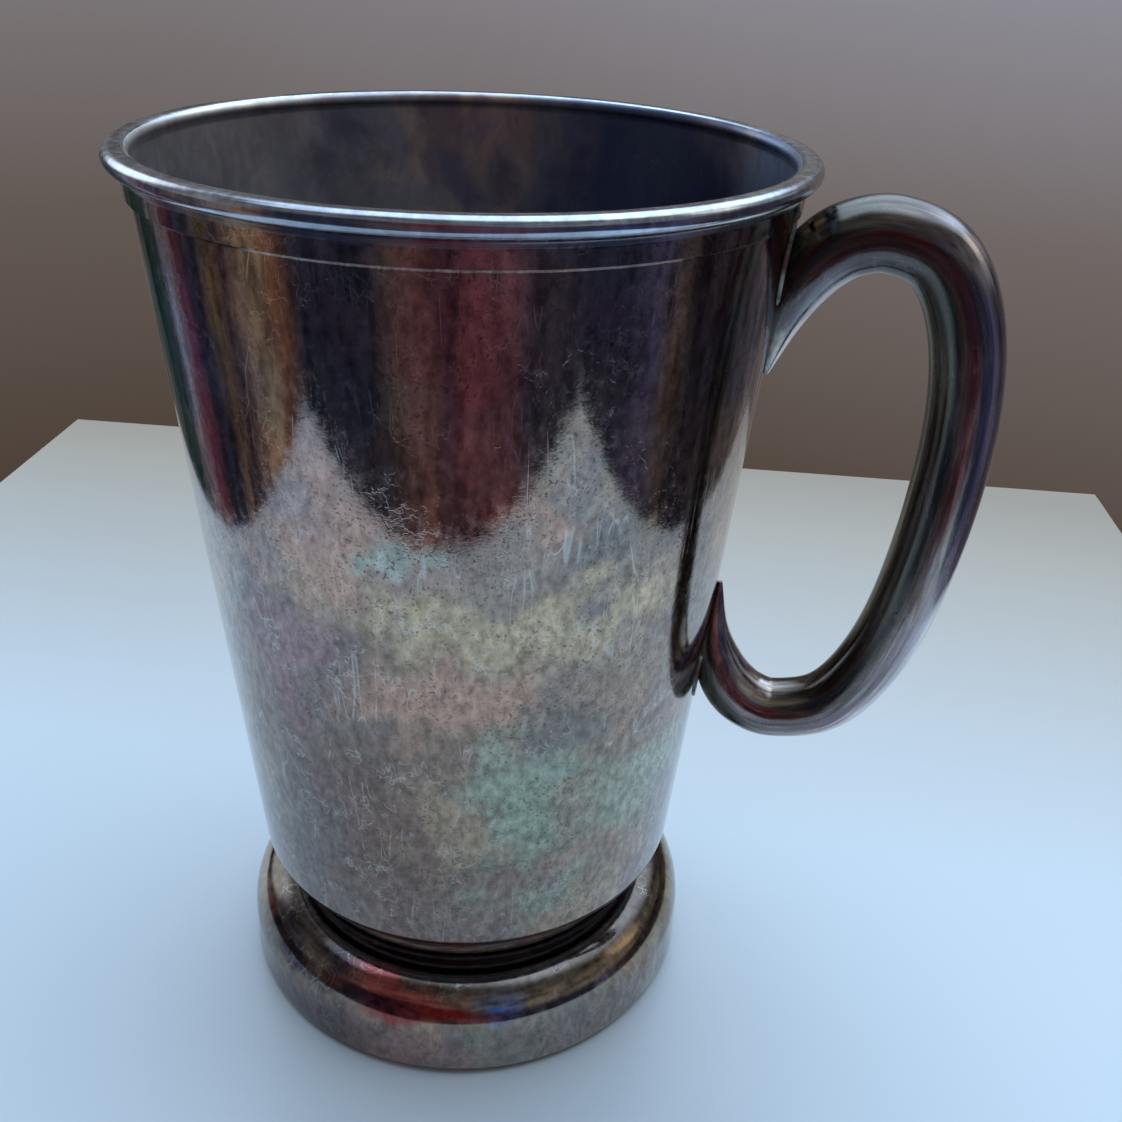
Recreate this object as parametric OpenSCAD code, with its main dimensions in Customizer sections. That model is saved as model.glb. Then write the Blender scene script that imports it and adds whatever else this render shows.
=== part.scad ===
// One-pint prize tankard: a straight tapering body with a moulded lip, a spreading foot
// with a neck above it, and one hollow scroll handle.
// Millimetres, +Z up. The table is z = 0, the body turns about Z and the handle lies along +X.

/* [Body] */
// Height over everything, from the table to the top of the lip
total_h = 140; // [125:1:160]
// Diameter over the lip
lip_d = 96; // [88:1:106]
// Diameter of the body wall at its bottom corner
body_base_d = 71.5; // [66:0.5:76]
// Thickness of the body sheet
body_sheet = 0.9; // [0.6:0.1:1.4]
// Radius of the body's bottom corner
corner_r = 5; // [3:0.5:6]
// Width of the flange turned in under the corner
flange_w = 3.8; // [2.5:0.1:6]
// Thickness of the disc that closes the bottom
disc_t = 1; // [0.6:0.1:1.5]

/* [Rim moulding] */
// Height of the lip's oval section
lip_h = 2.5; // [1.6:0.1:3]
// Width of the lip's oval section
lip_w = 3.55; // [3.2:0.05:4.2]
// Radius of the reed under the lip
reed_r = 1.2; // [1.1:0.05:1.5]
// Height of the plain band under the reed
band_h = 2; // [1:0.1:4]
// How far the band stands out from the wall
band_proud = 0.7; // [0.4:0.05:1]
// Height of the bevel under the band
bevel_h = 0.5; // [0.3:0.1:1.5]

/* [Foot] */
// Height of the foot, from the table to the underside of the body
foot_h = 22.6; // [20.5:0.1:28]
// Diameter over the foot
foot_d = 77.6; // [74:0.2:84]
// Thickness of the foot sheet
foot_sheet = 0.8; // [0.6:0.1:1.1]
// Radius of the foot's rounded shoulder
shoulder_r = 8.5; // [7:0.5:9]
// Radius of the hollow between the foot and the body
neck_r = 2.8; // [2.2:0.1:3.2]
// Radius of the foot's bottom edge
foot_edge_r = 2; // [1.6:0.1:2.5]
// Width of the flat the foot stands on
stand_w = 2.3; // [1.5:0.1:4]

/* [Handle] */
// How far the handle's centre line reaches out from the body
handle_reach = 29.3; // [25:0.1:34]
// Thickness of the tube at its fullest
tube_d = 10.3; // [8.5:0.1:11]
// Thickness of the handle sheet
handle_sheet = 0.9; // [0.6:0.1:1.3]
// Thickness of solder between the handle and the body
solder_t = 0.3; // [0.2:0.05:0.5]

/* [Hidden] */
lip_r = lip_d / 2;
// the wall ends under the middle of the lip, which stands out from it by the overhang
lip_overhang = 2.53;
wall_top_z = total_h - lip_h;
wall_top_r = lip_r - lip_overhang;
// how far the reed is tucked up under the lip, and its centre lies behind the band's face
reed_tuck = 0.3;
reed_sunk = 1.05;
// angles round the lip and the reed at which they meet in a groove
groove_lip_a = -72;
groove_reed_a = 48;
corner_z = foot_h + corner_r;
// half the cone's opening angle, and the wall radius at any height
taper = atan((wall_top_r - body_base_d / 2) / (wall_top_z - corner_z));
function wall_r(z) = wall_top_r - (wall_top_z - z) * tan(taper);
// thickness of the sloping wall, measured level
wall_skin = body_sheet / cos(taper);
// centre of the bottom corner, which the wall meets as a tangent
corner_x = wall_r(corner_z) - corner_r / cos(taper);
flange_in_r = corner_x - flange_w;
// the disc ends just short of where the corner begins to rise
disc_r = corner_x - 0.3;

foot_r = foot_d / 2;
shoulder_x = foot_r - shoulder_r;
neck_z = foot_h - foot_sheet - neck_r;
shoulder_z = neck_z - neck_r - shoulder_r;
edge_x = foot_r - foot_edge_r;
// the flange on top of the neck, which carries the body
seat_in_r = shoulder_x - 2;
seat_out_r = shoulder_x + 1;

$fn = 160;
arc_steps = 12;

// ---- sections, drawn in the plane of radius (x) and height (y) ----

// part of a flat ring about the origin, from angle a0 round to a1
module ring_sector(r_out, r_in, a0, a1) {
    far = 3 * r_out;
    mid = (a0 + a1) / 2;
    intersection() {
        difference() {
            circle(r = r_out);
            circle(r = r_in);
        }
        polygon([[0, 0], far * [cos(a0), sin(a0)], far * [cos(mid), sin(mid)],
                 far * [cos(a1), sin(a1)]]);
    }
}

// rectangle from radius x0 to x1 and height z0 to z1
module bar(x0, x1, z0, z1) {
    translate([x0, z0]) square([x1 - x0, z1 - z0]);
}

// points along an arc about (x, y), from angle a0 to a1
function arc(x, y, r, a0, a1) =
    [for (k = [0 : arc_steps])
        let (a = a0 + (a1 - a0) * k / arc_steps)
        [x + r * cos(a), y + r * sin(a)]];

module body_section() {
    inner_r = corner_r - body_sheet;
    polygon(concat(
        [[flange_in_r, foot_h]],
        arc(corner_x, corner_z, corner_r, -90, -taper),
        [[wall_top_r, wall_top_z], [wall_top_r - wall_skin, wall_top_z]],
        arc(corner_x, corner_z, inner_r, -taper, -90),
        [[flange_in_r, foot_h + body_sheet]]));
}

// the space inside the body's bottom corner, out to radius r about the corner's centre
module corner_pie(r) {
    polygon(concat([[disc_r - 1, corner_z], [disc_r - 1, corner_z - r]],
                   arc(corner_x, corner_z, r, -90, -taper)));
}

// lip, reed, band and a bevel down to the wall, in one strip round the outside
module rim_section() {
    half = lip_h / 2;
    lip_z = total_h - half;
    lip_in = lip_r - lip_w + half;
    wall_in = wall_top_r - wall_skin;
    // the lip's inner side runs straight on into the wall's
    inner_a = 180 + acos(min(1, (lip_in - wall_in) / half));
    reed_a = acos(reed_sunk / reed_r);
    reed_z = total_h - lip_h - reed_r + reed_tuck;
    reed_x = wall_r(reed_z) + band_proud - reed_sunk;
    band_top = reed_z - reed_r * sin(reed_a);
    band_low = band_top - band_h;
    bevel_z = band_low - bevel_h;
    polygon(concat(
        [[wall_r(bevel_z), bevel_z],
         [wall_r(band_low) + band_proud, band_low]],
        arc(reed_x, reed_z, reed_r, -reed_a, groove_reed_a),
        arc(lip_r - half, lip_z, half, groove_lip_a, 90),
        arc(lip_in, lip_z, half, 90, inner_a),
        [[wall_in, wall_top_z], [wall_top_r, wall_top_z]]));
}

module foot_section() {
    translate([shoulder_x, neck_z]) ring_sector(neck_r + foot_sheet, neck_r, 90, 270);
    bar(seat_in_r, seat_out_r, foot_h - foot_sheet, foot_h);
    translate([shoulder_x, shoulder_z])
        ring_sector(shoulder_r, shoulder_r - foot_sheet, 0, 90);
    bar(foot_r - foot_sheet, foot_r, foot_edge_r, shoulder_z);
    translate([edge_x, foot_edge_r])
        ring_sector(foot_edge_r, foot_edge_r - foot_sheet, -90, 0);
    bar(edge_x - stand_w, edge_x, 0, foot_sheet);
}

// ---- handle ----

// The centre line of the handle is four rounded quarters, which meet at the crown of the
// loop and at its lowest point, this far out from the body wall.
arch_out = 13.3;
crown_z = 131.6;
lowest_z = 54.5;
tube_r = 5.1;
// Each quarter: distance of its side from the wall, height of its side, height of its crown
// or lowest point, and its fullness, where 2 is a quarter of an ellipse.
TAIL = [0.2, 111, crown_z, 2.5];
UPPER = [29.3, 94, crown_z, 2.2];
LOWER = [29.3, 94, lowest_z, 2.4];
SPUR = [0.4, 76.4, lowest_z, 2.3];
// radius of the tube at the tips of the tail and the spur, and at the lowest point
tail_r = 0.6;
spur_r = 0.35;
lowest_r = 4.7;
// knots along a quarter by the wall and along one on the far side
wall_knots = 5;
far_knots = 4;

// point of a quarter at t, from 0 at its crown or lowest point to 1 at its side
function quarter(q, t) = [
    arch_out + (q[0] - arch_out) * pow(sin(90 * t), 2 / q[3]),
    q[1] + (q[2] - q[1]) * pow(cos(90 * t), 2 / q[3])];
// share of a tip's length passed at p, 0 at the tip
function from_tip(q, p) = (p.y - q[1]) / (q[2] - q[1]);
function tail_knot(t) = let (p = quarter(TAIL, t))
    [p.x, p.y, tail_r + (tube_r - tail_r) * sin(90 * from_tip(TAIL, p))];
function spur_knot(t) = let (p = quarter(SPUR, t))
    [p.x, p.y, spur_r + (lowest_r - spur_r) * sin(90 * pow(from_tip(SPUR, p), 1.3))];
function far_knot(q, r, t) = let (p = quarter(q, t)) [p.x, p.y, r + (tube_r - r) * t];

// distance out from the body wall, height and tube radius, from the tail round to the spur
HANDLE = concat(
    [for (k = [0 : wall_knots - 1]) tail_knot(1 - k / wall_knots)],
    [for (k = [0 : far_knots - 1]) far_knot(UPPER, tube_r, k / far_knots)],
    [for (k = [0 : far_knots - 1]) far_knot(LOWER, lowest_r, 1 - k / far_knots)],
    [for (k = [0 : wall_knots]) spur_knot(k / wall_knots)]);
full_reach = 29.3;
full_radius = tube_r;
drawn_h = 140;
// rings along each span of the centre line, and points round half a ring
span_rings = 3;
half_points = 12;
// spans of the centre line over which the tube is hollow
hollow_from = 3;
hollow_to = 13;
// the handle stays this clear of the curved face of its solder
joint_gap = 0.02;

function node_at(i) = let (p = HANDLE[i], z = p.y * total_h / drawn_h)
    [wall_r(z) + p.x * handle_reach / full_reach, z, p.z * tube_d / 2 / full_radius];
function ahead(i) = i < 0 ? 2 * node_at(0) - node_at(1)
    : i >= len(HANDLE) ? 2 * node_at(len(HANDLE) - 1) - node_at(len(HANDLE) - 2)
    : node_at(i);
// smooth curve through four neighbours, between the second and the third
function blend(a, b, c, d, t) = 0.5 * (2 * b + (c - a) * t
    + (2 * a - 5 * b + 4 * c - d) * t * t + (3 * b - a - 3 * c + d) * t * t * t);
function centre(u) = let (i = min(floor(u), len(HANDLE) - 2))
    blend(ahead(i - 1), ahead(i), ahead(i + 1), ahead(i + 2), u - i);
// direction in the handle's plane, square to the centre line and away from the body
function outward(u) = let (d = centre(u + 0.01) - centre(u - 0.01), l = norm([d.x, d.y]))
    [-d.y / l, d.x / l];
// a point too near the body is moved straight out to the solder's face
function clear_of_body(p, gap) = let (r = norm([p.x, p.y]), least = wall_r(p.z) + gap)
    r >= least ? p : [p.x * least / r, p.y * least / r, p.z];
// half a ring of the tube at u, its radius reduced by skin
function half_ring(u, skin) = let (c = centre(u), n = outward(u), r = c.z - skin)
    [for (k = [0 : half_points])
        let (a = 180 * k / half_points)
        clear_of_body([c.x + r * cos(a) * n.x, k == half_points ? 0 : r * sin(a),
                       c.y + r * cos(a) * n.y], solder_t + joint_gap)];

module handle_half() {
    last = (len(HANDLE) - 1) * span_rings;
    h0 = hollow_from * span_rings;
    h1 = hollow_to * span_rings;
    w = half_points + 1;
    n = half_points;
    inner = (last + 1) * w;
    points = concat(
        [for (i = [0 : last]) each half_ring(i / span_rings, 0)],
        [for (i = [h0 : h1]) each half_ring(i / span_rings, handle_sheet)]);
    outer_skin = [for (i = [0 : last - 1], k = [0 : n - 1])
        let (a = i * w + k)
        each [[a, a + w, a + w + 1], [a, a + w + 1, a + 1]]];
    inner_skin = [for (i = [0 : h1 - h0 - 1], k = [0 : n - 1])
        let (a = inner + i * w + k)
        each [[a, a + w + 1, a + w], [a, a + 1, a + w + 1]]];
    solid_seam = [for (i = [0 : last - 1])
        let (a = i * w)
        if (i < h0 - 1 || i > h1)
            each [[a, a + n, a + w + n], [a, a + w + n, a + w]]];
    hollow_seam = [for (i = [h0 : h1 - 1])
        let (a = i * w, b = inner + (i - h0) * w)
        each [[a, b, b + w], [a, b + w, a + w],
              [a + n, b + w + n, b + n], [a + n, a + w + n, b + w + n]]];
    s = h0 * w;
    t = h1 * w;
    it = inner + (h1 - h0) * w;
    start_seam = [[s - w, s - w + n, s + n], [s - w, s + n, inner + n],
                  [s - w, inner + n, inner], [s - w, inner, s]];
    end_seam = [[t + w + n, t + w, t], [t + w + n, t, it],
                [t + w + n, it, it + n], [t + w + n, it + n, t + n]];
    caps = [for (k = [1 : n - 1])
        each [[0, k, k + 1],
              [last * w, last * w + k + 1, last * w + k],
              [inner, inner + k + 1, inner + k],
              [it, it + k, it + k + 1]]];
    polyhedron(points, concat(outer_skin, inner_skin, solid_seam, hollow_seam,
                              start_seam, end_seam, caps));
}

// solder between the handle and the wall: what lies within solder_t of the wall
module solder_shell(z0, z1) {
    rotate_extrude()
        polygon([[wall_r(z0), z0], [wall_r(z0) + solder_t, z0],
                 [wall_r(z1) + solder_t, z1], [wall_r(z1), z1]]);
}

// ---- pieces ----

module body_shell() {
    color([0.80, 0.80, 0.78]) rotate_extrude() body_section();
}

module base_disc() {
    color([0.76, 0.76, 0.74])
        translate([0, 0, foot_h + body_sheet]) cylinder(r = disc_r, h = disc_t);
}

module rim_moulding() {
    color([0.84, 0.84, 0.82]) rotate_extrude() rim_section();
}

module foot_ring() {
    color([0.80, 0.79, 0.76]) rotate_extrude() foot_section();
}

// round wire that stiffens the foot's bottom edge from inside
module foot_wire() {
    color([0.72, 0.72, 0.70])
        rotate_extrude()
            translate([edge_x, foot_edge_r]) circle(r = foot_edge_r - foot_sheet);
}

// fillet between the disc's edge and the body's bottom corner
module base_solder() {
    rise = 0.8;
    low = foot_h + body_sheet;
    far = corner_x + corner_r;
    color([0.62, 0.62, 0.62])
        rotate_extrude()
            intersection() {
                corner_pie(corner_r - body_sheet);
                polygon([[disc_r, low], [far, low],
                         [far, low + disc_t + rise], [disc_r, low + disc_t]]);
            }
}

// fillet outside, between the foot's top flange and the body's bottom corner
module foot_solder() {
    leg = 0.5;
    reach = 1.1;
    color([0.62, 0.62, 0.62])
        rotate_extrude()
            difference() {
                polygon([[seat_out_r, foot_h - leg], [seat_out_r + reach, foot_h + leg],
                         [corner_x, foot_h + leg], [corner_x, foot_h], [seat_out_r, foot_h]]);
                corner_pie(corner_r);
            }
}

module handle_left_half() {
    color([0.78, 0.78, 0.76]) handle_half();
}

module handle_right_half() {
    color([0.78, 0.78, 0.76]) mirror([0, 1, 0]) handle_half();
}

// teardrop pad behind the upper end of the handle
module handle_upper_solder() {
    round_z = 127.3 * total_h / drawn_h;
    tip_z = 112 * total_h / drawn_h;
    tip_half = 0.9;
    r = 4.9 * tube_d / 2 / full_radius;
    side = 14;
    color([0.62, 0.62, 0.62])
        intersection() {
            solder_shell(tip_z - 1, round_z + r + 0.2);
            rotate([90, 0, 90])
                linear_extrude(height = lip_r) {
                    translate([0, round_z]) circle(r = r);
                    polygon([[-r * cos(side), round_z - r * sin(side)], [-tip_half, tip_z],
                             [tip_half, tip_z], [r * cos(side), round_z - r * sin(side)]]);
                }
        }
}

// round pad behind the lower end of the handle
module handle_lower_solder() {
    pad_z = 60 * total_h / drawn_h;
    r = 4.6 * tube_d / 2 / full_radius;
    color([0.62, 0.62, 0.62])
        intersection() {
            solder_shell(pad_z - r - 1, pad_z + r + 1);
            rotate([90, 0, 90])
                linear_extrude(height = lip_r)
                    translate([0, pad_z]) circle(r = r);
        }
}

body_shell();
base_disc();
rim_moulding();
foot_ring();
foot_wire();
base_solder();
foot_solder();
handle_left_half();
handle_right_half();
handle_upper_solder();
handle_lower_solder();
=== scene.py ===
# Silver-plated prize tankard on a small pale table. Lengths are millimetres until a mesh is
# made, and metres in the scene. The handle lies along +X and the camera stands on the -Y side.
import math

import bmesh
import bpy
from mathutils import Matrix, Vector

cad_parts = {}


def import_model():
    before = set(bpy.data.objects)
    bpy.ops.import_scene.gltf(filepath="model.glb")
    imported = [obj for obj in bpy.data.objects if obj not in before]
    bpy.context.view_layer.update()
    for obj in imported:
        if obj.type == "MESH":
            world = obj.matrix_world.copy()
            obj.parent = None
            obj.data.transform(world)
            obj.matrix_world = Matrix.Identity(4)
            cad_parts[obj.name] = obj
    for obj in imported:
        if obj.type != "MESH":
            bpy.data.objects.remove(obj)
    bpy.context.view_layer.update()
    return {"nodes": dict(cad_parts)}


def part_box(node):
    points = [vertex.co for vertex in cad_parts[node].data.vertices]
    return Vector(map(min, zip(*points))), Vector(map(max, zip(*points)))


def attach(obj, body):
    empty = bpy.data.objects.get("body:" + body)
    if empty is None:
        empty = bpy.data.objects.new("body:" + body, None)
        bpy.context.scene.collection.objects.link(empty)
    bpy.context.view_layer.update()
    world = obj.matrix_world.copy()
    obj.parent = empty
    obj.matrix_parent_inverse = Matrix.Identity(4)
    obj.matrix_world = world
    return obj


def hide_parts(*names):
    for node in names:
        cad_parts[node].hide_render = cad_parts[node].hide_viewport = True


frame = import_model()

MM = 0.001


def size_of(node):
    """Outer radius, lowest and highest point of a turned CAD node, in millimetres."""
    low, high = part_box(node)
    return high.x / MM, low.z / MM, high.z / MM


LIP_R, _, TOTAL_H = size_of("rim_moulding")
WALL_TOP_R, FOOT_H, WALL_TOP = size_of("body_shell")
FOOT_R = size_of("foot_ring")[0]

# ---------------------------------------------------------------- turned profiles

BODY_SHEET = 0.9
CORNER_R = 5.0
CORNER_Z = FOOT_H + CORNER_R
BODY_BASE_R = 35.75
FLANGE_W = 3.8
TAPER = math.atan((WALL_TOP_R - BODY_BASE_R) / (WALL_TOP - CORNER_Z))


def wall_r(z):
    """Outer radius of the body wall at height z."""
    return WALL_TOP_R - (WALL_TOP - z) * math.tan(TAPER)


def arc(x, y, r, a0, a1, steps):
    """Points along an arc about (x, y), from angle a0 to a1 in degrees."""
    angles = [math.radians(a0 + (a1 - a0) * k / steps) for k in range(steps + 1)]
    return [(x + r * math.cos(a), y + r * math.sin(a)) for a in angles]


def line(p, q, steps):
    """Points from p towards q, without q."""
    return [(p[0] + (q[0] - p[0]) * k / steps, p[1] + (q[1] - p[1]) * k / steps)
            for k in range(steps)]


def body_profile():
    """Outside up, inside down, and the flange turned in under the bottom corner."""
    corner_x = wall_r(CORNER_Z) - CORNER_R / math.cos(TAPER)
    skin = BODY_SHEET / math.cos(TAPER)
    flange = corner_x - FLANGE_W
    taper = math.degrees(TAPER)
    outer = arc(corner_x, CORNER_Z, CORNER_R, -90, -taper, 24)
    inner = arc(corner_x, CORNER_Z, CORNER_R - BODY_SHEET, -taper, -90, 24)
    top_out, top_in = (WALL_TOP_R, WALL_TOP), (WALL_TOP_R - skin, WALL_TOP)
    return (line((flange, FOOT_H), outer[0], 3) + outer[:-1] + line(outer[-1], top_out, 60)
            + line(top_out, top_in, 2) + line(top_in, inner[0], 60) + inner[:-1]
            + line(inner[-1], (flange, FOOT_H + BODY_SHEET), 3)
            + [(flange, FOOT_H + BODY_SHEET)])


# height at which the rim's reed ends and its plain band begins
REED_LOW = TOTAL_H - 3.67


def rim_profile():
    """Lip, reed, plain band and bevel, in one strip round the outside of the wall."""
    half, lip_w, reed_r, band_h = 1.25, 3.55, 1.2, 2.3
    proud, bevel, sunk, tuck = 0.7, 0.5, 1.17, 0.3
    # angles round the reed and the lip at which they meet in a groove
    groove_reed, groove_lip = 48, -72
    lip_z = TOTAL_H - half
    lip_in = LIP_R - lip_w + half
    wall_in = WALL_TOP_R - BODY_SHEET / math.cos(TAPER)
    reed_z = TOTAL_H - 2 * half - reed_r + tuck
    reed_x = wall_r(reed_z) + proud - sunk
    reed_a = math.degrees(math.acos(sunk / reed_r))
    low = reed_z - reed_r * math.sin(math.radians(reed_a)) - band_h
    inner_a = 180 + math.degrees(math.acos((lip_in - wall_in) / half))
    reed = arc(reed_x, reed_z, reed_r, -reed_a, groove_reed, 16)
    band_low = (wall_r(low) + proud, low)
    foot = (wall_r(low - bevel), low - bevel)
    return (line(foot, band_low, 3) + line(band_low, reed[0], 6) + reed
            + arc(LIP_R - half, lip_z, half, groove_lip, 90, 28)
            + arc(lip_in, lip_z, half, 90, inner_a, 20)
            + [(wall_in, WALL_TOP), (WALL_TOP_R, WALL_TOP)])


def foot_profile():
    """Flange, neck, rounded shoulder and rolled edge of the hollow foot."""
    sheet, shoulder_r, neck_r, edge_r, stand_w = 0.8, 8.5, 2.8, 2.0, 2.3
    x = FOOT_R - shoulder_r
    neck_z = FOOT_H - sheet - neck_r
    shoulder_z = neck_z - neck_r - shoulder_r
    edge_x = FOOT_R - edge_r
    outside = ([(x - 2, FOOT_H), (x + 1, FOOT_H), (x + 1, FOOT_H - sheet)]
               + arc(x, neck_z, neck_r, 90, 270, 36)[:-1]
               + arc(x, shoulder_z, shoulder_r, 90, 0, 48)
               + line((FOOT_R, shoulder_z), (FOOT_R, edge_r), 6)[1:]
               + arc(edge_x, edge_r, edge_r, 0, -90, 14) + [(edge_x - stand_w, 0)])
    inside = ([(edge_x - stand_w, sheet)]
              + arc(edge_x, edge_r, edge_r - sheet, -90, 0, 10)
              + arc(x, shoulder_z, shoulder_r - sheet, 0, 90, 30)
              + arc(x, neck_z, neck_r + sheet, 270, 130, 24))
    return outside + inside


def smooth_mesh(name, verts, faces, sharp=27, grain=None):
    """A mesh object from millimetre points, smooth but for edges over the sharp angle.

    grain gives each point a place on the metal's own grain, for its material to read.
    """
    mesh = bpy.data.meshes.new(name)
    mesh.from_pydata([tuple(c * MM for c in v) for v in verts], [], faces)
    if grain:
        layer = mesh.attributes.new("grain", "FLOAT_VECTOR", "POINT")
        layer.data.foreach_set("vector", [c for place in grain for c in place])
    bm = bmesh.new()
    bm.from_mesh(mesh)
    bmesh.ops.remove_doubles(bm, verts=bm.verts, dist=1e-7)
    bmesh.ops.recalc_face_normals(bm, faces=bm.faces)
    for face in bm.faces:
        face.smooth = True
    for edge in bm.edges:
        if edge.is_manifold and edge.calc_face_angle(0) > math.radians(sharp):
            edge.smooth = False
    bm.to_mesh(mesh)
    bm.free()
    piece = bpy.data.objects.new(name, mesh)
    bpy.context.scene.collection.objects.link(piece)
    return piece


def turned(name, profile, segments=256):
    """A closed profile of (radius, height) points turned about Z."""
    n = len(profile)
    verts, faces = [], []
    for s in range(segments):
        a = 2 * math.pi * s / segments
        verts += [(r * math.cos(a), r * math.sin(a), z) for r, z in profile]
        t = (s + 1) % segments
        faces += [(s * n + k, t * n + k, t * n + (k + 1) % n, s * n + (k + 1) % n)
                  for k in range(n)]
    return smooth_mesh(name, verts, faces)


# ---------------------------------------------------------------- handle

ARCH_OUT, CROWN_Z, LOWEST_Z = 13.3, 131.6, 54.5
TUBE_R, LOWEST_R, TAIL_R, SPUR_R = 5.15, 4.75, 0.6, 0.35
# the centre line is four rounded quarters, which meet at the crown of the loop and at its
# lowest point; each is the distance of its side from the wall, the height of its side,
# the height of its other end, and its fullness, where 2 is a quarter of an ellipse
TAIL, UPPER = (0.2, 111, CROWN_Z, 2.5), (29.3, 94, CROWN_Z, 2.2)
LOWER, SPUR = (29.3, 94, LOWEST_Z, 2.4), (0.4, 76.4, LOWEST_Z, 2.3)
WALL_KNOTS, FAR_KNOTS = 5, 4
# the tube is let into the wall by half the sheet, so that it meets it in a clean line
SUNK = 0.45


def quarter(side, side_z, end_z, fullness, t):
    """Distance from the wall and height, at t from 0 at the end to 1 at the side."""
    turn, power = math.pi / 2 * t, 2 / fullness
    return (ARCH_OUT + (side - ARCH_OUT) * math.sin(turn) ** power,
            side_z + (end_z - side_z) * math.cos(turn) ** power)


def handle_knots():
    """(distance from the wall, height, tube radius) from the tail round to the spur."""
    knots = []
    for i in range(WALL_KNOTS):
        out, z = quarter(*TAIL, 1 - i / WALL_KNOTS)
        done = (z - TAIL[1]) / (CROWN_Z - TAIL[1])
        knots.append((out, z, TAIL_R + (TUBE_R - TAIL_R) * math.sin(math.pi / 2 * done)))
    for i in range(FAR_KNOTS):
        knots.append((*quarter(*UPPER, i / FAR_KNOTS), TUBE_R))
    for i in range(FAR_KNOTS):
        t = 1 - i / FAR_KNOTS
        knots.append((*quarter(*LOWER, t), LOWEST_R + (TUBE_R - LOWEST_R) * t))
    for i in range(WALL_KNOTS + 1):
        out, z = quarter(*SPUR, i / WALL_KNOTS)
        done = ((z - SPUR[1]) / (LOWEST_Z - SPUR[1])) ** 1.3
        knots.append((out, z, SPUR_R + (LOWEST_R - SPUR_R) * math.sin(math.pi / 2 * done)))
    return knots


def handle_rings(per_span):
    """(x, z, radius, outward direction) along the handle's smooth centre line."""
    knots = [Vector((wall_r(z) + out, z, r)) for out, z, r in handle_knots()]
    spans = len(knots) - 1
    knots = [2 * knots[0] - knots[1]] + knots + [2 * knots[-1] - knots[-2]]
    rings = []
    for i in range(spans):
        a, b, c, d = knots[i:i + 4]
        for k in range(per_span + (i == spans - 1)):
            t = k / per_span
            p = 0.5 * (2 * b + (c - a) * t + (2 * a - 5 * b + 4 * c - d) * t * t
                       + (3 * b - a - 3 * c + d) * t ** 3)
            v = 0.5 * ((c - a) + 2 * (2 * a - 5 * b + 4 * c - d) * t
                       + 3 * (3 * b - a - 3 * c + d) * t * t)
            length = math.hypot(v.x, v.y)
            rings.append((p.x, p.y, p.z, (-v.y / length, v.x / length)))
    return rings


def handle_tube(name, per_span=14, around=64):
    """The whole hollow tube as it looks once its halves are soldered and polished."""
    verts, faces, grain = [], [], []
    rings = handle_rings(per_span)
    along = 0.0
    for i, (x, z, r, (nx, nz)) in enumerate(rings):
        if i:
            along += math.hypot(x - rings[i - 1][0], z - rings[i - 1][1])
        for k in range(around):
            a = 2 * math.pi * k / around
            p = Vector((x + r * math.cos(a) * nx, r * math.sin(a), z + r * math.cos(a) * nz))
            away = math.hypot(p.x, p.y)
            least = wall_r(p.z) - SUNK
            if away < least:
                p.x, p.y = p.x * least / away, p.y * least / away
            verts.append(p)
            grain.append((along, r * math.cos(a), r * math.sin(a)))
    for i in range(len(rings) - 1):
        for k in range(around):
            j = (k + 1) % around
            faces.append((i * around + k, i * around + j,
                          (i + 1) * around + j, (i + 1) * around + k))
    last = (len(rings) - 1) * around
    faces.append(tuple(range(around)))
    faces.append(tuple(last + k for k in reversed(range(around))))
    return smooth_mesh(name, verts, faces, sharp=50, grain=grain)


# ---------------------------------------------------------------- shader helpers


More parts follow.
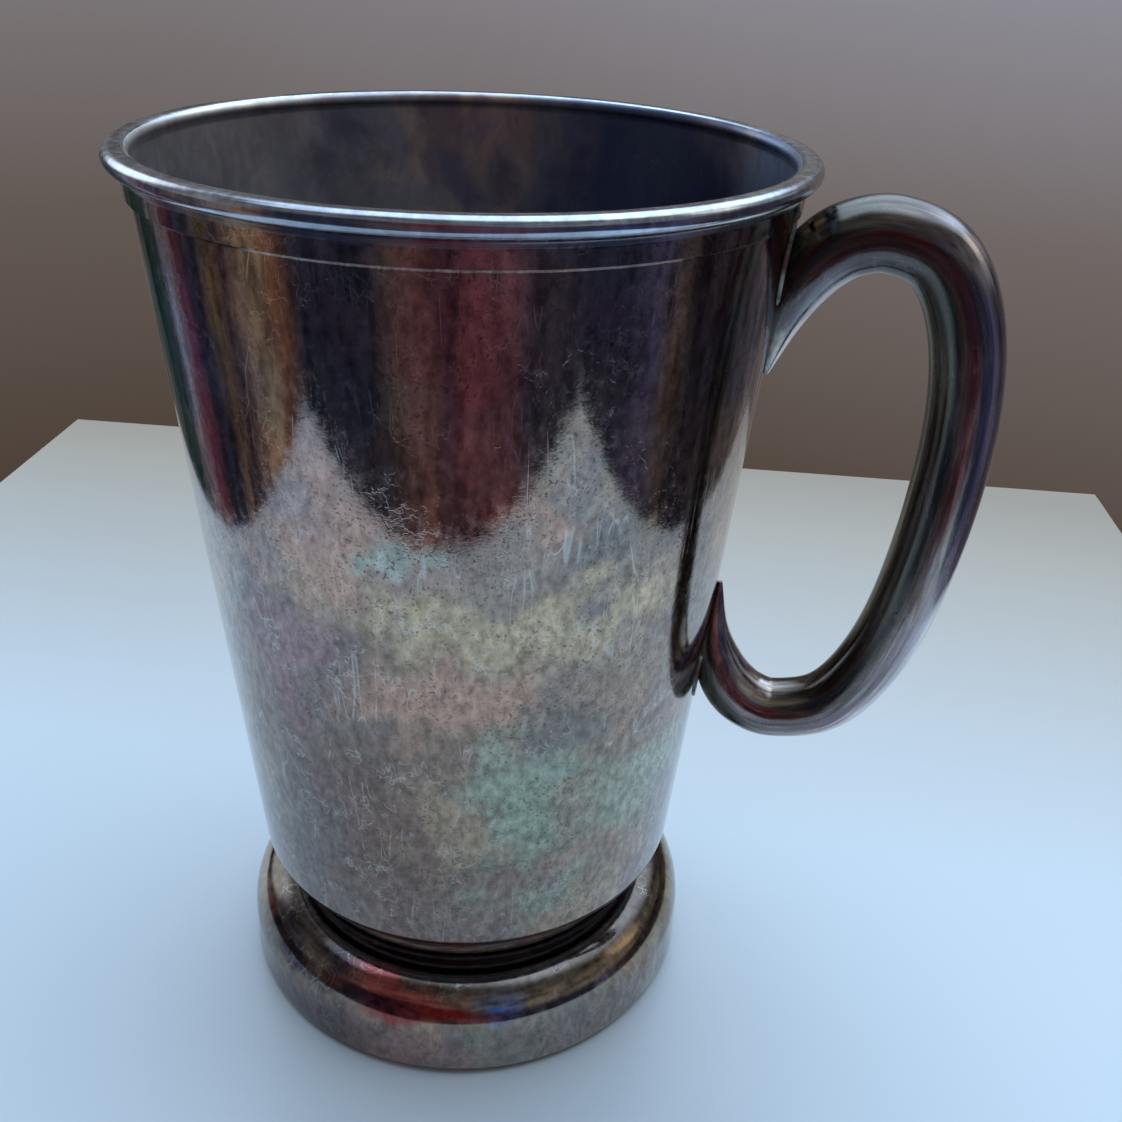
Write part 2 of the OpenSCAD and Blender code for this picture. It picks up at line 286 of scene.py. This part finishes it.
class Nodes:
    """Short calls for building a node tree."""

    def __init__(self, tree):
        self.tree = tree
        tree.nodes.clear()

    def add(self, kind, **settings):
        node = self.tree.nodes.new("ShaderNode" + kind)
        for key, value in settings.items():
            setattr(node, key, value)
        return node

    def put(self, value, socket):
        if hasattr(value, "is_linked"):
            self.tree.links.new(value, socket)
        else:
            socket.default_value = value

    def math(self, operation, a, b=0.0, c=0.0):
        node = self.add("Math", operation=operation)
        for value, socket in zip((a, b, c), node.inputs):
            self.put(value, socket)
        return node.outputs[0]

    def vector(self, operation, a, b=(0, 0, 0), c=(0, 0, 0)):
        node = self.add("VectorMath", operation=operation)
        for value, socket in zip((a, b, c), node.inputs):
            self.put(value, socket)
        return node.outputs["Value" if operation in ("LENGTH", "DOT_PRODUCT") else "Vector"]

    def steps(self, value, low, high, to_low=0.0, to_high=1.0, smooth=True):
        """Value eased from to_low at low to to_high at high."""
        node = self.add("MapRange",
                        interpolation_type="SMOOTHSTEP" if smooth else "LINEAR")
        self.put(value, node.inputs["Value"])
        for name, number in (("From Min", low), ("From Max", high),
                             ("To Min", to_low), ("To Max", to_high)):
            node.inputs[name].default_value = number
        return node.outputs["Result"]

    def mix(self, factor, a, b, blend="MIX"):
        node = self.add("Mix", data_type="RGBA", blend_type=blend)
        self.put(factor, node.inputs["Factor"])
        self.put(a if hasattr(a, "is_linked") else (*a, 1), node.inputs["A"])
        self.put(b if hasattr(b, "is_linked") else (*b, 1), node.inputs["B"])
        return node.outputs["Result"]

    def ramp(self, value, stops):
        node = self.add("ValToRGB")
        ramp = node.color_ramp
        while len(ramp.elements) < len(stops):
            ramp.elements.new(0.5)
        for element, (place, colour) in zip(ramp.elements, stops):
            element.position = place
            element.color = (*colour, 1)
        self.put(value, node.inputs[0])
        return node.outputs["Color"]

    def grey(self, value):
        node = self.add("CombineColor")
        for socket in node.inputs:
            self.put(value, socket)
        return node.outputs[0]

    def noise(self, vector, scale, detail=3.0, roughness=0.5, distortion=0.0):
        node = self.add("TexNoise")
        self.put(vector, node.inputs["Vector"])
        node.inputs["Scale"].default_value = scale
        node.inputs["Detail"].default_value = detail
        node.inputs["Roughness"].default_value = roughness
        node.inputs["Distortion"].default_value = distortion
        return node.outputs["Fac"]


# ---------------------------------------------------------------- silver plate

# what the tarnish film leaves of the reflection, by kind of stain
TAN, ROSE, KHAKI = (0.62, 0.37, 0.27), (0.52, 0.29, 0.26), (0.64, 0.49, 0.31)
TEAL, SLATE, PLUM = (0.40, 0.46, 0.35), (0.24, 0.225, 0.20), (0.26, 0.18, 0.21)
BROWN, DARK = (0.15, 0.10, 0.075), (0.25, 0.17, 0.14)


def silver(name, base, stains, stain_and_painted_light_patches=(), speckle=1.0, rough=0.1, grained=False,
           stain_and_painted_light_bands=(), mottled=1.0, tear=30, girth=None, lit_outside_shaded_inside=False):
    """Worn silver plate under an uneven tarnish film, with some painted light, shade and
    reflection laid into its colour.

    Each stain is (colour, size in mm, share of the surface, strength); each patch is
    (azimuth in degrees, height, radius across, radius up, colour, strength); each band
    is (height from, height to, colour, strength). Patches and bands carry stains, and some
    carry painted light, shade and reflection. A patch lies at the radius girth, or on
    the body wall, and its outline is torn over about tear millimetres. speckle scales the
    grains and scratches, and mottled the fine mottle, the haze and the dents. The film of
    a grained piece runs along its grain. A piece can be given painted light on its outer
    side and painted shade on the side towards the body.
    """
    material = bpy.data.materials.new(name)
    material.use_nodes = True
    n = Nodes(material.node_tree)
    out = n.add("OutputMaterial")
    shader = n.add("BsdfPrincipled")
    n.tree.links.new(shader.outputs[0], out.inputs["Surface"])
    place = n.vector("MULTIPLY", n.add("TexCoord").outputs["Object"], (1000, 1000, 1000))
    if grained:
        run = n.add("Attribute", attribute_name="grain").outputs["Vector"]
        wiped = n.vector("MULTIPLY", run, (0.12, 1.5, 1.5))
    else:
        wiped = n.vector("MULTIPLY", place, (1, 1, 0.62))

    def spots(vector, size, share, detail=5.0, seed=0.0, soft=0.09):
        field = n.noise(n.vector("ADD", vector, (seed, seed * 0.7, 0)), 1 / size, detail,
                        0.62, 0.5)
        edge = 0.5 + (0.5 - share) * 0.32
        return n.steps(field, edge - soft, edge + soft)

    def scores(size, turn, width, seed):
        """Long thin scratches: where a drawn-out noise passes its middle value."""
        course = n.add("Mapping")
        n.put(place, course.inputs["Vector"])
        course.inputs["Location"].default_value = (seed, seed, seed)
        course.inputs["Rotation"].default_value = turn
        course.inputs["Scale"].default_value = (1.0, 1.0, 0.09)
        field = n.noise(course.outputs[0], 1 / size, 1, 0.5, 0.0)
        return n.steps(n.math("ABSOLUTE", n.math("SUBTRACT", field, 0.5)), width, 0.0)

    def crackle(size, width):
        """A torn net of fine lines."""
        bent = n.add("TexNoise")
        n.put(place, bent.inputs["Vector"])
        bent.inputs["Scale"].default_value = 0.6
        bent.inputs["Detail"].default_value = 3
        net = n.add("TexVoronoi", feature="DISTANCE_TO_EDGE")
        n.put(n.vector("MULTIPLY_ADD", bent.outputs["Color"], (4, 4, 4), place),
              net.inputs["Vector"])
        net.inputs["Scale"].default_value = 1 / size
        return n.steps(net.outputs["Distance"], width, 0.0)

    colour = base
    for i, (tint, size, share, strength) in enumerate(stains):
        mask = spots(wiped, size, share, seed=31.0 * i + 7)
        colour = n.mix(n.math("MULTIPLY", mask, strength), colour, tint)
    split = n.add("SeparateXYZ")
    n.put(place, split.inputs[0])
    for low, high, tint, strength in stain_and_painted_light_bands:
        soft = min(0.35 * (high - low), 3.0)
        inside = n.math("MULTIPLY", n.steps(split.outputs["Z"], low - soft, low + soft),
                        n.steps(split.outputs["Z"], high + 0.4, high - 0.4, 0.0, strength))
        colour = n.mix(inside, colour, tint)
    if stain_and_painted_light_patches:
        shift = n.add("TexNoise")
        n.put(place, shift.inputs["Vector"])
        shift.inputs["Scale"].default_value = 0.09
        shift.inputs["Detail"].default_value = 4
        shift.inputs["Roughness"].default_value = 0.55
        torn = n.vector("MULTIPLY_ADD", shift.outputs["Color"], (tear, tear, tear), place)
    for azimuth, height, across, up, tint, strength in stain_and_painted_light_patches:
        radius = girth or wall_r(height)
        a = math.radians(azimuth)
        centre = (radius * math.cos(a) + tear / 2, radius * math.sin(a) + tear / 2,
                  height + tear / 2)
        away = n.vector("MULTIPLY", n.vector("SUBTRACT", torn, centre),
                        (1 / across, 1 / across, 1 / up))
        near = n.steps(n.vector("LENGTH", away), 1.15, 0.3, 0.0, strength)
        colour = n.mix(near, colour, tint)
    if lit_outside_shaded_inside:
        # painted light and shade: lighter where the surface faces outward, away from the body,
        # and near black where it faces the body
        facing = n.add("SeparateXYZ")
        n.put(n.add("NewGeometry").outputs["Normal"], facing.inputs[0])
        outward = facing.outputs["X"]
        colour = n.mix(n.steps(outward, 0.15, 0.85, 0.0, 0.7), colour, (0.88, 0.82, 0.86))
        colour = n.mix(n.steps(outward, 0.2, -0.35, 0.0, 0.85), colour, (0.10, 0.10, 0.085))
    # fine mottle over everything, then grains, dark veins and bright scratches
    mottle = n.noise(wiped, 0.8, 4, 0.58, 0.0)
    shade = n.steps(mottle, 0.32, 0.68, 1 - 0.34 * mottled, 1 + 0.30 * mottled, smooth=False)
    colour = n.mix(1.0, colour, n.grey(shade), "MULTIPLY")
    grains = n.steps(n.noise(place, 2.1, 2, 0.6), 0.57, 0.66, 0.0, 0.8 * speckle)
    clumps = spots(place, 11, 0.6, seed=3, soft=0.16)
    colour = n.mix(n.math("MULTIPLY", grains, clumps), colour, BROWN)
    veins = n.math("MULTIPLY", crackle(9, 0.05), spots(place, 12, 0.3, seed=90, soft=0.05))
    colour = n.mix(n.math("MULTIPLY", veins, 0.42 * speckle), colour, BROWN)
    marks = n.math("MAXIMUM", scores(3.5, (0.5, 0.3, 0.0), 0.010, 40.0),
                   scores(4.5, (-0.9, 0.5, 0.2), 0.010, 77.0))
    marks = n.math("MULTIPLY", marks, spots(place, 9, 0.35, seed=55, soft=0.05))
    scuffs = n.math("MULTIPLY", crackle(3.2, 0.05), spots(place, 8, 0.3, seed=21, soft=0.04))
    marks = n.math("MAXIMUM", marks, scuffs)
    colour = n.mix(n.math("MULTIPLY", marks, 0.45 * speckle), colour, (0.75, 0.70, 0.62))
    n.put(colour, shader.inputs["Base Color"])
    shader.inputs["Metallic"].default_value = 1.0
    haze = n.steps(mottle, 0.3, 0.75, rough * (1 - 0.4 * mottled),
                   rough * (1 + 0.7 * mottled))
    n.put(n.math("MULTIPLY_ADD", grains, 0.12, haze), shader.inputs["Roughness"])

    bump = n.add("Bump")
    bump.inputs["Strength"].default_value = 0.25 * mottled
    bump.inputs["Distance"].default_value = 0.00002
    dents = n.math("MULTIPLY_ADD", n.noise(place, 0.22, 2, 0.5), 3.0,
                   n.noise(place, 2.2, 4, 0.6))
    n.put(n.math("MULTIPLY_ADD", marks, -speckle, dents), bump.inputs["Height"])
    n.put(bump.outputs["Normal"], shader.inputs["Normal"])
    return material


def dull_metal(name, colour, rough):
    """Plain metal that was never polished: solder, and the wire in the foot."""
    material = bpy.data.materials.new(name)
    material.use_nodes = True
    n = Nodes(material.node_tree)
    out = n.add("OutputMaterial")
    shader = n.add("BsdfPrincipled")
    n.tree.links.new(shader.outputs[0], out.inputs["Surface"])
    place = n.vector("MULTIPLY", n.add("TexCoord").outputs["Object"], (1000, 1000, 1000))
    patchy = n.noise(place, 0.5, 4, 0.6)
    darker = tuple(c * 0.45 for c in colour)
    n.put(n.mix(n.steps(patchy, 0.35, 0.7), colour, darker), shader.inputs["Base Color"])
    shader.inputs["Metallic"].default_value = 1.0
    n.put(n.steps(patchy, 0.3, 0.7, rough, rough + 0.25), shader.inputs["Roughness"])
    bump = n.add("Bump")
    bump.inputs["Strength"].default_value = 0.4
    bump.inputs["Distance"].default_value = 0.00006
    n.put(n.noise(place, 1.6, 3, 0.6), bump.inputs["Height"])
    n.put(bump.outputs["Normal"], shader.inputs["Normal"])
    return material


def dress(piece, material):
    """Gives a piece its material."""
    piece.data.materials.clear()
    piece.data.materials.append(material)


# ---------------------------------------------------------------- the tankard

def line_inside(piece):
    """The duller silver inside the body, from the lip down to the bottom corner."""
    piece.data.materials.append(inner_silver)
    for face in piece.data.polygons:
        centre = face.center / MM
        if centre.xy.length < wall_r(centre.z) - 0.7 * BODY_SHEET and centre.z > FOOT_H + 0.5:
            face.material_index = 1


def line_rim(piece):
    """The band under the reed is like the body, the inside of the lip like its inside."""
    piece.data.materials.append(body_silver)
    piece.data.materials.append(inner_silver)
    for face in piece.data.polygons:
        if face.center.z / MM < REED_LOW:
            face.material_index = 1
        if face.normal.xy.dot(face.center.xy.normalized()) < -0.6:
            face.material_index = 2


BODY_STAIN_AND_REFLECTION_PATCHES = [(-99, 57, 28, 42, (0.26, 0.18, 0.14), 0.8),
                (-60, 70, 27, 52, (0.38, 0.28, 0.21), 0.7),
                (-98, 99, 17, 15, TAN, 0.75), (-114, 76, 11, 13, (0.38, 0.24, 0.25), 0.65),
                (-72, 85, 23, 7, KHAKI, 0.75), (-78, 73, 20, 8, TAN, 0.7),
                (-63, 106, 7, 10, TAN, 0.7), (-51, 96, 11, 10, SLATE, 0.8),
                (-43, 87, 12, 7, KHAKI, 0.65), (-57, 70, 7, 10, SLATE, 0.8),
                (-101, 68, 8, 15, SLATE, 0.6), (-99, 52, 15, 17, DARK, 0.5),
                (-65, 54, 11, 14, TEAL, 0.85), (-34, 52, 14, 11, TEAL, 0.7),
                (-55, 35, 11, 6, TEAL, 0.7), (-82, 50, 7, 13, (0.56, 0.42, 0.28), 0.6),
                (-84, 96, 5, 4, (0.40, 0.62, 0.52), 0.45), (-78, 127, 24, 9, ROSE, 0.5),
                (-128, 103, 26, 9, (0.28, 0.23, 0.26), 0.5),
                # the bluish patches at height 119, at azimuths -140 and -20, are painted
                # reflection of the dark room in the body's sides
                (-140, 119, 26, 14, (0.22, 0.30, 0.46), 0.8),
                (-20, 119, 13, 12, (0.20, 0.24, 0.38), 0.7),
                (-118, 44, 14, 22, (0.22, 0.22, 0.21), 0.45)]
# inside the body: a near-white patch of painted light on the lit wall at azimuth 178, dark navy
# painted shade at 58, and a bluish painted reflection at 18
INNER_STAIN_AND_LIGHT_PATCHES = [(178, 128, 34, 26, (0.95, 0.92, 0.90), 0.9),
                 (58, 126, 34, 34, (0.06, 0.085, 0.17), 0.95),
                 (18, 130, 20, 22, (0.38, 0.50, 0.74), 0.75), (112, 112, 14, 14, KHAKI, 0.6)]
# painted shade: the lip darkened at its back and front, so that its highlight stays bright only
# towards the two ends
RIM_PAINTED_SHADE_PATCHES = [(96, 139, 34, 14, (0.32, 0.34, 0.39), 0.65),
               (-88, 139, 26, 14, (0.28, 0.28, 0.33), 0.6)]
FOOT_STAIN_AND_REFLECTION_PATCHES = [(-118, 3, 26, 10, (0.12, 0.09, 0.11), 0.75), (-150, 7, 12, 12, SLATE, 0.4),
                (-55, 5, 18, 12, (0.36, 0.32, 0.29), 0.5), (-88, 2, 14, 7, ROSE, 0.4),
                # the last three, along the front of the shoulder, are painted reflection of the
                # room: navy, crimson and blue
                (-124, 13.2, 15, 3.2, (0.04, 0.04, 0.07), 0.9),
                (-92, 13.4, 13, 3, (0.40, 0.06, 0.07), 0.85),
                (-68, 13.2, 5, 2.6, (0.12, 0.22, 0.48), 0.85)]

body_silver = silver("silver_plate_body", (0.36, 0.315, 0.28),
                     [(ROSE, 20, 0.35, 0.5), (KHAKI, 13, 0.3, 0.5), (SLATE, 11, 0.35, 0.5),
                      (PLUM, 7, 0.25, 0.5)], BODY_STAIN_AND_REFLECTION_PATCHES, rough=0.075)
inner_silver = silver("silver_plate_inside", (0.34, 0.33, 0.36),
                      [((0.66, 0.50, 0.34), 15, 0.3, 0.75), ((0.13, 0.12, 0.17), 12, 0.4, 0.65)],
                      INNER_STAIN_AND_LIGHT_PATCHES, 0.1, 0.38, mottled=0.12)
# the rim's blue-grey base colour is painted reflection of the pale sky overhead, and its
# teal-grey band over the reed, at 136.2 to 137.2 mm, is painted reflection of the pale table
rim_silver = silver("silver_plate_rim", (0.60, 0.66, 0.76),
                    [(SLATE, 9, 0.3, 0.4), (PLUM, 6, 0.3, 0.4)], RIM_PAINTED_SHADE_PATCHES, 0.2, 0.17,
                    stain_and_painted_light_bands=[(136.2, 137.2, (0.44, 0.50, 0.48), 0.8)], mottled=0.5, tear=12)
foot_silver = silver("silver_plate_foot", (0.28, 0.245, 0.23),
                     [(ROSE, 10, 0.4, 0.6), (KHAKI, 12, 0.35, 0.45), (TEAL, 9, 0.3, 0.5),
                      (BROWN, 6, 0.35, 0.6)], FOOT_STAIN_AND_REFLECTION_PATCHES, 0.5, 0.11,
                     stain_and_painted_light_bands=[(9.5, 16, (0.42, 0.32, 0.20), 0.5),
                            # the next two bands are painted shade: the top of the shoulder and
                            # the neck darkened under the overhanging body
                            (14.0, 16.8, (0.075, 0.06, 0.045), 0.9),
                            (16.2, 30, (0.15, 0.13, 0.14), 0.85)], mottled=0.8,
                     tear=9, girth=38)
handle_silver = silver("silver_plate_handle", (0.32, 0.28, 0.28),
                       [(KHAKI, 4, 0.4, 0.8), (PLUM, 3, 0.45, 0.75), (TEAL, 3.5, 0.25, 0.6),
                        (BROWN, 2, 0.4, 0.8), ((0.72, 0.60, 0.50), 2.5, 0.25, 0.65)],
                       (), 0.25, 0.19, grained=True, mottled=0.9,
                       # the handle gets painted light on its outer side and painted shade on the
                       # side towards the body
                       stain_and_painted_light_bands=[(118, 160, (0.07, 0.065, 0.07), 0.75)], lit_outside_shaded_inside=True)
floor_silver = silver("silver_plate_floor", (0.24, 0.22, 0.20),
                      [(KHAKI, 14, 0.3, 0.5), (BROWN, 8, 0.4, 0.6)], (), 1.0, 0.4)
solder_metal = dull_metal("soft_solder", (0.30, 0.28, 0.25), 0.3)
wire_metal = dull_metal("nickel_silver_wire", (0.45, 0.40, 0.32), 0.25)

for name, profile, material, node in (
        ("body", body_profile(), body_silver, "body_shell"),
        ("rim", rim_profile(), rim_silver, "rim_moulding"),
        ("foot", foot_profile(), foot_silver, "foot_ring")):
    piece = turned(name, profile)
    dress(piece, material)
    if name == "body":
        line_inside(piece)
    if name == "rim":
        line_rim(piece)
    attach(piece, "root")
    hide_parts(node)

handle = handle_tube("handle")
dress(handle, handle_silver)
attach(handle, "root")
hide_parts("handle_left_half", "handle_right_half")

for node, material, slot in (
        ("base_disc", floor_silver, "silver_plate"), ("foot_wire", wire_metal, "nickel_silver"),
        ("base_solder", solder_metal, "solder"), ("foot_solder", solder_metal, "solder"),
        ("handle_upper_solder", solder_metal, "solder"),
        ("handle_lower_solder", solder_metal, "solder")):
    dress(frame["nodes"][node], material)

# ---------------------------------------------------------------- table, light, camera

TABLE_W, TABLE_D, TABLE_T = 358, 387, 40
TABLE_CENTRE = (-3, 25)
TABLE_TURN = math.radians(5.5)


def table():
    """A small pale table whose edges show in the tankard's sides."""
    mesh = bpy.data.meshes.new("table")
    bm = bmesh.new()
    bmesh.ops.create_cube(bm, size=1)
    bmesh.ops.scale(bm, vec=(TABLE_W * MM, TABLE_D * MM, TABLE_T * MM), verts=bm.verts)
    bmesh.ops.translate(bm, vec=(0, 0, -TABLE_T * MM / 2), verts=bm.verts)
    bmesh.ops.bevel(bm, geom=bm.edges, offset=1.2 * MM, segments=3, affect="EDGES")
    bmesh.ops.rotate(bm, cent=(0, 0, 0), matrix=Matrix.Rotation(TABLE_TURN, 3, "Z"),
                     verts=bm.verts)
    bmesh.ops.translate(bm, vec=(TABLE_CENTRE[0] * MM, TABLE_CENTRE[1] * MM, 0),
                        verts=bm.verts)
    bm.to_mesh(mesh)
    bm.free()
    obj = bpy.data.objects.new("table", mesh)
    bpy.context.scene.collection.objects.link(obj)
    material = bpy.data.materials.new("pale_laminate")
    material.use_nodes = True
    n = Nodes(material.node_tree)
    out = n.add("OutputMaterial")
    shader = n.add("BsdfPrincipled")
    n.tree.links.new(shader.outputs[0], out.inputs["Surface"])
    split = n.add("SeparateXYZ")
    n.put(n.add("TexCoord").outputs["Object"], split.inputs[0])
    # painted light and shade: pale and bluish at the front, where the skylight falls, darker and
    # warmer towards the back, where it falls off
    back = n.steps(split.outputs["Y"], -60 * MM, 220 * MM, smooth=False)
    n.put(n.ramp(back, [(0.0, (0.68, 0.77, 0.84)), (0.33, (0.67, 0.74, 0.78)),
                        (0.46, (0.62, 0.65, 0.65)), (0.63, (0.57, 0.55, 0.51)),
                        (0.86, (0.49, 0.43, 0.34)), (1.0, (0.40, 0.33, 0.25))]),
          shader.inputs["Base Color"])
    shader.inputs["Roughness"].default_value = 0.32
    mesh.materials.append(material)


# what stands round the table, by azimuth in degrees: dark, with soft upright streaks
ROOM = [(-180, (0.027, 0.033, 0.062)), (-172, (0.13, 0.10, 0.07)), (-165, (0.04, 0.03, 0.06)),
        (-152, (0.30, 0.25, 0.20)), (-143, (0.16, 0.08, 0.06)), (-136, (0.027, 0.033, 0.062)),
        (-110, (0.027, 0.033, 0.062)), (-103, (0.08, 0.07, 0.08)), (-92, (0.13, 0.075, 0.085)),
        (-83, (0.06, 0.035, 0.06)), (-74, (0.14, 0.06, 0.085)), (-60, (0.12, 0.065, 0.095)),
        (-52, (0.045, 0.045, 0.075)), (-30, (0.026, 0.032, 0.068)), (-16, (0.03, 0.035, 0.07)),
        (-7, (0.08, 0.08, 0.17)), (4, (0.07, 0.06, 0.065)), (14, (0.02, 0.02, 0.035)),
        (38, (0.05, 0.045, 0.055)), (60, (0.13, 0.11, 0.11)), (90, (0.15, 0.13, 0.115)),
        (130, (0.12, 0.11, 0.10)), (142, (0.02, 0.04, 0.04)), (152, (0.03, 0.05, 0.05)),
        (160, (0.22, 0.22, 0.26)), (168, (0.15, 0.05, 0.08)), (174, (0.04, 0.03, 0.05)),
        (180, (0.027, 0.033, 0.062))]
# soft lights and coloured things: azimuth, elevation, radius in degrees, colour
SPOTS = [(150, 22, 20, (1.5, 1.7, 1.9)), (16, 31, 13, (1.3, 1.2, 1.0)),
         (-178, 64, 16, (1.2, 1.5, 1.9)),
         (-84, 17, 14, (0.15, 0.025, 0.03)), (-62, 19, 6, (0.10, 0.24, 0.62))]


# the pale light overhead, a little behind the tankard
SKYLIGHT = Vector((0.1, 0.42, 0.9))
SKY_COLOUR = (1.75, 2.25, 2.85)


def world():
    """A dim room with a pale skylight overhead; the camera sees a plain taupe wall."""
    sky = bpy.data.worlds.new("room")
    bpy.context.scene.world = sky
    sky.use_nodes = True
    n = Nodes(sky.node_tree)
    out = n.add("OutputWorld")
    way = n.add("TexCoord").outputs["Generated"]
    split = n.add("SeparateXYZ")
    n.put(way, split.inputs[0])
    x, y, z = split.outputs
    waver = n.math("SUBTRACT", n.noise(n.vector("MULTIPLY", way, (3, 3, 4)), 1.0, 3), 0.5)
    turn = n.math("MULTIPLY_ADD", n.math("ARCTAN2", y, x), 0.5 / math.pi, 0.5)
    turn = n.math("MULTIPLY_ADD", waver, 0.045, turn)
    height = n.math("MULTIPLY", n.math("ARCSINE", z), 180 / math.pi)

    # a ramp holds 32 stops at most
    streaks = n.ramp(turn, [(a / 360 + 0.5, c) for a, c in ROOM])
    fine = n.noise(n.vector("MULTIPLY", way, (30, 30, 2.0)), 1.0, 4, 0.65)
    streaks = n.mix(1.0, streaks, n.grey(n.steps(fine, 0.35, 0.65, 0.25, 1.9)),
                    "MULTIPLY")
    # above the furniture the far walls and ceiling are dim and warm
    blotch = n.noise(n.vector("MULTIPLY", way, (5, 5, 7)), 1.0, 4, 0.6)
    dim = n.mix(n.steps(blotch, 0.38, 0.62), (0.10, 0.10, 0.10), (0.30, 0.30, 0.31))
    tall = n.steps(n.vector("DOT_PRODUCT", way, (-0.34, -0.94, 0.0)), 0.55, 0.95, 0, -22)
    level = n.math("ADD", n.math("MULTIPLY_ADD", waver, 16, height), tall)
    room = n.mix(n.steps(level, 9, 15), streaks, dim)
    for azimuth, elevation, radius, colour in SPOTS:
        a, e = math.radians(azimuth), math.radians(elevation)
        aim = (math.cos(a) * math.cos(e), math.sin(a) * math.cos(e), math.sin(e))
        near = n.math("MULTIPLY_ADD", waver, 0.03, n.vector("DOT_PRODUCT", way, aim))
        edge = n.steps(near, math.cos(math.radians(radius)),
                       math.cos(math.radians(radius * 0.45)))
        room = n.mix(edge, room, colour)
    near = n.vector("DOT_PRODUCT", way, tuple(SKYLIGHT.normalized()))
    room = n.mix(n.steps(near, 0.70, 0.90), room, SKY_COLOUR)

    wall = n.ramp(n.steps(height, -24, 0, smooth=False),
                  [(0.0, (0.070, 0.049, 0.036)), (0.5, (0.125, 0.100, 0.088)),
                   (1.0, (0.225, 0.210, 0.225))])
    wall = n.mix(n.steps(turn, 0.72, 0.84), n.mix(1.0, wall, (1.30, 1.38, 1.50), "MULTIPLY"),
                 wall)
    seen = n.mix(n.add("LightPath").outputs["Is Camera Ray"], room, wall)
    back = n.add("Background")
    n.put(seen, back.inputs["Color"])
    n.tree.links.new(back.outputs[0], out.inputs["Surface"])


LENS = 39
STAND_POINT = (45, -168, 168.3)
HEADING, PITCH, ROLL = (math.radians(a) for a in (100.1, 28.3, 2.4))


def camera():
    """A phone's main lens, held above the table and a little towards the handle."""
    data = bpy.data.cameras.new("camera")
    data.sensor_width = 36
    data.lens = LENS
    data.clip_start = 0.001
    obj = bpy.data.objects.new("camera", data)
    bpy.context.scene.collection.objects.link(obj)
    ahead = Vector((math.cos(HEADING) * math.cos(PITCH), math.sin(HEADING) * math.cos(PITCH),
                    -math.sin(PITCH)))
    side = ahead.cross(Vector((0, 0, 1))).normalized()
    up = side.cross(ahead)
    side, up = (side * math.cos(ROLL) + up * math.sin(ROLL),
                up * math.cos(ROLL) - side * math.sin(ROLL))
    turn = Matrix((side, up, -ahead)).transposed()
    obj.matrix_world = Matrix.Translation(Vector(STAND_POINT) * MM) @ turn.to_4x4()
    bpy.context.scene.camera = obj


table()
world()
camera()
bpy.context.scene.view_settings.view_transform = "Standard"
